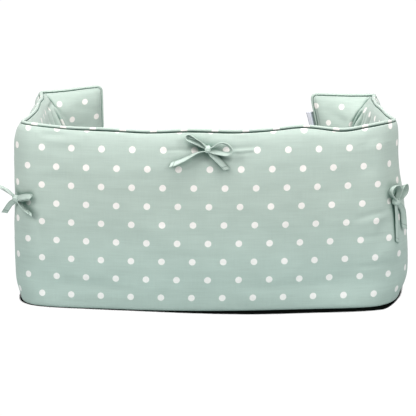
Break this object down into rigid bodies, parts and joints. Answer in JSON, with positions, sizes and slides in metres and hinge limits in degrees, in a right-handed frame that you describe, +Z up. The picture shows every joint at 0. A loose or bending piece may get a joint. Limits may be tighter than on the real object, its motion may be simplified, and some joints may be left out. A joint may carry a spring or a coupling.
{
  "type": "dog crate bumper",
  "caption": "Padded spotted cotton bumper on edge, bent round three sides of a crate, with piping, tied bows and a ribbon tab.",
  "frame": {"origin": "on the floor under the middle of the long panel, half way through its thickness", "axes": "+X along the long panel, to the right seen from outside it; +Y from the long panel into the space for the dog; +Z up"},
  "size_m": [0.6705, 0.4834, 0.2974],
  "materials": {
    "cover": "plain woven cotton, duck-egg blue-green with a half-drop repeat of white dots",
    "piping": "the cover's spotted cotton round a cord",
    "ties": "the cover's cotton folded into a flat stitched tie",
    "tab": "smooth lilac-grey woven ribbon with a paler stripe"
  },
  "bodies": {
    "root": {"pad": "cover", "piping": "piping", "bow_centre_knot": "ties", "bow_centre_loop_left": "ties", "bow_centre_loop_right": "ties", "bow_centre_tail_left": "ties", "bow_centre_tail_right": "ties", "bow_left_knot": "ties", "bow_left_loop_left": "ties", "bow_left_loop_right": "ties", "bow_left_tail_left": "ties", "bow_left_tail_right": "ties", "bow_right_knot": "ties", "bow_right_loop_left": "ties", "bow_right_loop_right": "ties", "bow_right_tail_left": "ties", "bow_right_tail_right": "ties", "side_tab": "tab"}
  },
  "joints": []
}
